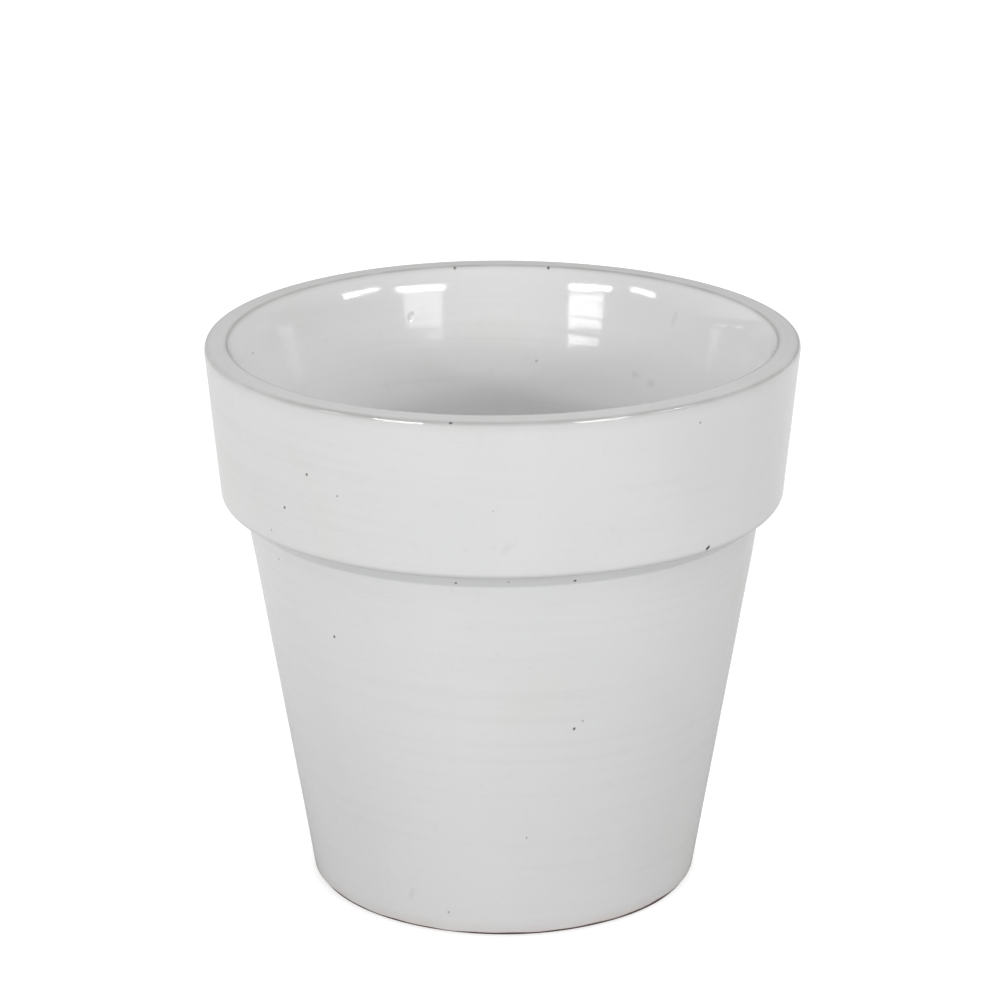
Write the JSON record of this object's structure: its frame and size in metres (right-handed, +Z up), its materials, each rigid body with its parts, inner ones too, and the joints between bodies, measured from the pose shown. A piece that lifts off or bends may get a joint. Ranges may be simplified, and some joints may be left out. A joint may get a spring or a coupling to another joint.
{
  "type": "flower pot",
  "caption": "Tapered round flower pot with a heavy collar, glazed white inside and out over terracotta, with a drain hole in the floor.",
  "frame": {"origin": "centre of the foot, on the surface that the pot stands on", "axes": "+Z up along the axis the pot was turned round, +X to the right and -Y towards the viewer; the pot is round, so X and Y are free"},
  "size_m": [0.1998, 0.1998, 0.19],
  "materials": {
    "terracotta": "bare fired clay, matt and slightly rough",
    "white_glaze": "glossy white glaze, a little greyer where it runs thin over edges"
  },
  "bodies": {
    "root": {"clay_body": "terracotta", "glaze_coat": "white_glaze"}
  },
  "joints": []
}
